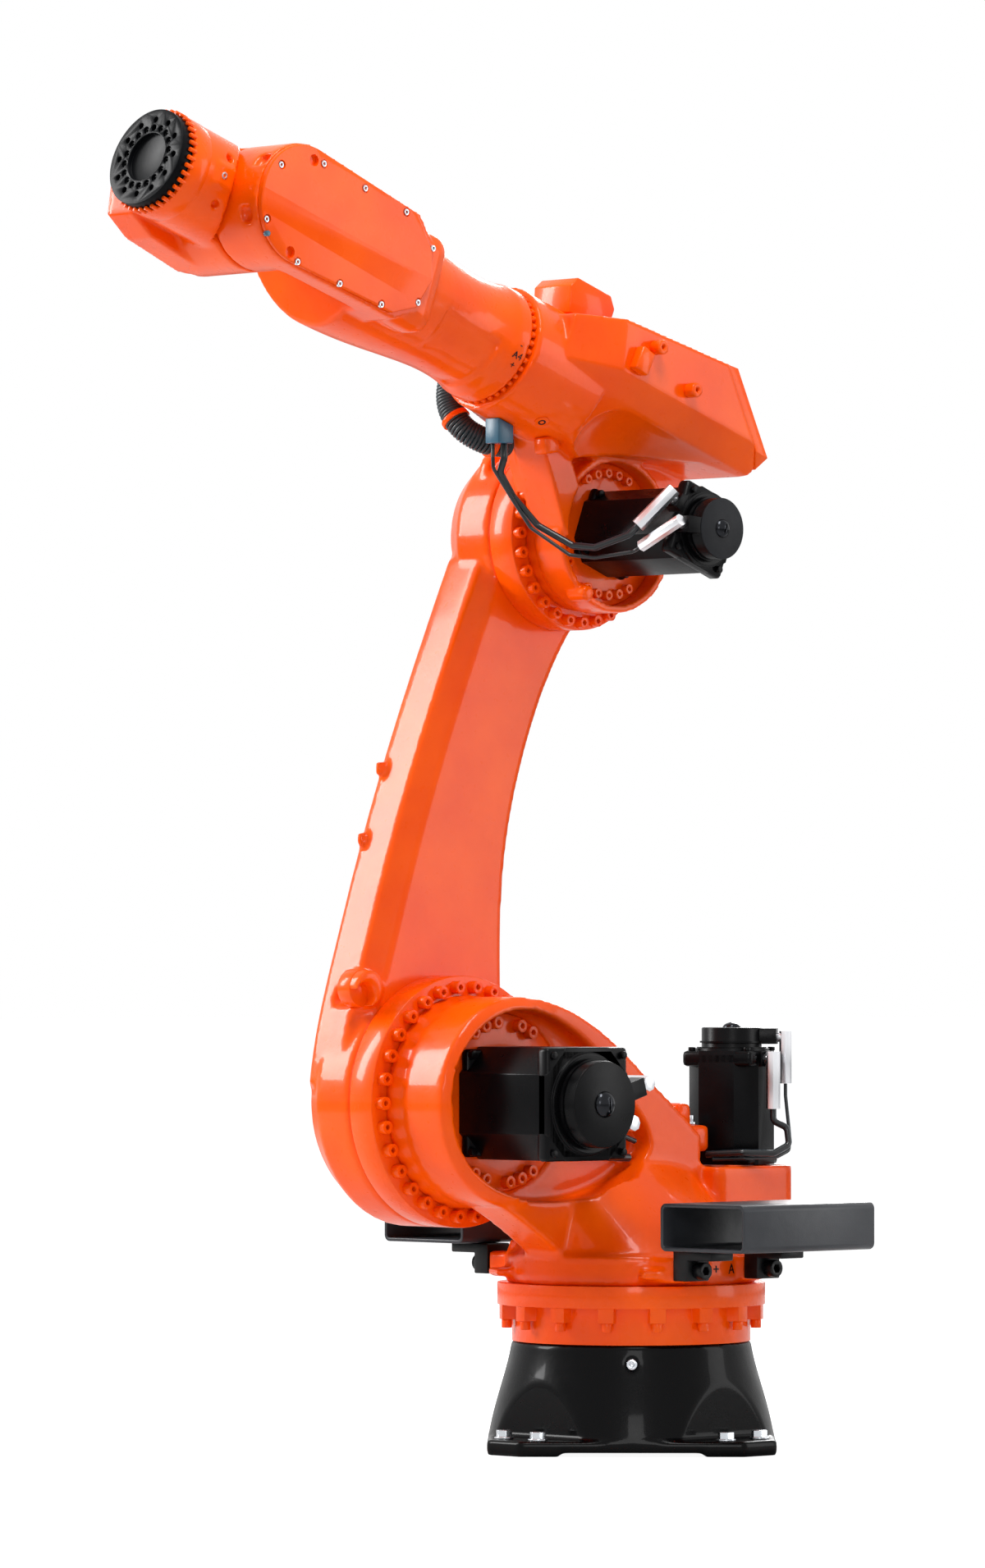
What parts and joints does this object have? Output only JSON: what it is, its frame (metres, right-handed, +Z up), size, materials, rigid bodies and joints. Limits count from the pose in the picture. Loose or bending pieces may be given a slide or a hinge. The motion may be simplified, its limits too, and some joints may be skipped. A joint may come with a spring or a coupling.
{
  "type": "six-axis industrial robot arm",
  "caption": "Floor-standing six-axis industrial robot arm, orange on a black base, with fork pockets and a bare tool flange.",
  "frame": {"origin": "axis 1 where it meets the floor, the middle of the foot plate", "axes": "+X the way the arm points at rest, +Y the side of the shoulder motor, +Z up"},
  "size_m": [1.4153, 0.832, 2.1295],
  "materials": {
    "orange_paint": "gloss",
    "black_paint": "satin",
    "zinc": "satin",
    "connector_alloy": "satin",
    "dark_steel": "worn satin",
    "cable_jacket": "satin",
    "blue_paint": "satin",
    "hose": "ribbed satin"
  },
  "bodies": {
    "base": {"base_frame": "black_paint", "anchor_bolts": "zinc", "base_plug": "zinc", "base_collar": "orange_paint", "collar_screws": "orange_paint"},
    "column": {"column_housing": "orange_paint", "a2_gear_flange": "orange_paint", "a2_gear_inner_screws": "orange_paint", "a2_motor": "black_paint", "a2_connectors": "connector_alloy", "a2_motor_cables": "cable_jacket", "a1_motor": "black_paint", "a1_connectors": "connector_alloy", "a1_motor_cable": "cable_jacket", "fork_tube_right": "dark_steel", "fork_tube_left": "dark_steel", "fork_bracket_right": "dark_steel", "fork_bracket_left": "dark_steel", "fork_bracket_screws": "zinc"},
    "link": {"link_arm": "orange_paint", "a2_gear_ring": "orange_paint", "a2_gear_screws": "orange_paint", "a3_gear_ring": "orange_paint", "a3_gear_screws": "orange_paint", "link_cover_lower": "orange_paint", "link_cover_upper": "orange_paint"},
    "arm": {"arm_housing": "orange_paint", "arm_rear_cover": "orange_paint", "arm_fittings": "orange_paint", "a3_gear_flange": "orange_paint", "a3_gear_inner_screws": "orange_paint", "a3_motor": "black_paint", "a3_connectors": "connector_alloy", "a3_motor_cables": "cable_jacket", "cable_bracket": "blue_paint", "cable_hose": "hose"},
    "forearm": {"forearm_housing": "orange_paint", "wrist_side_cover": "orange_paint"},
    "wrist": {"wrist_body": "orange_paint", "wrist_far_cover": "orange_paint"},
    "flange": {"tool_flange": "black_paint", "flange_screws": "black_paint"}
  },
  "joints": [
    {"name": "axis_1", "type": "hinge", "parent": "base", "child": "column", "pos_m": [0, 0, 0.274], "axis": [0, 0, 1], "range_deg": [-185, 185]},
    {"name": "axis_2", "type": "hinge", "parent": "column", "child": "link", "pos_m": [0.3, -0.088, 0.572], "axis": [0, 1, 0], "range_deg": [-34, 101]},
    {"name": "axis_3", "type": "hinge", "parent": "link", "child": "arm", "pos_m": [0.03318, -0.088, 1.5025], "axis": [0, -1, 0], "range_deg": [-68, 207]},
    {"name": "axis_4", "type": "hinge", "parent": "arm", "child": "forearm", "pos_m": [0.31966, 0, 1.79469], "axis": [0.9455, 0, 0.3256], "range_deg": [-350, 350]},
    {"name": "axis_5", "type": "hinge", "parent": "forearm", "child": "wrist", "pos_m": [0.86428, 0, 1.98222], "axis": [0, 1, 0], "range_deg": [-125, 125]},
    {"name": "axis_6", "type": "hinge", "parent": "wrist", "child": "flange", "pos_m": [1.0496, 0, 2.04603], "axis": [0.9455, 0, 0.3256], "range_deg": [-350, 350]}
  ]
}
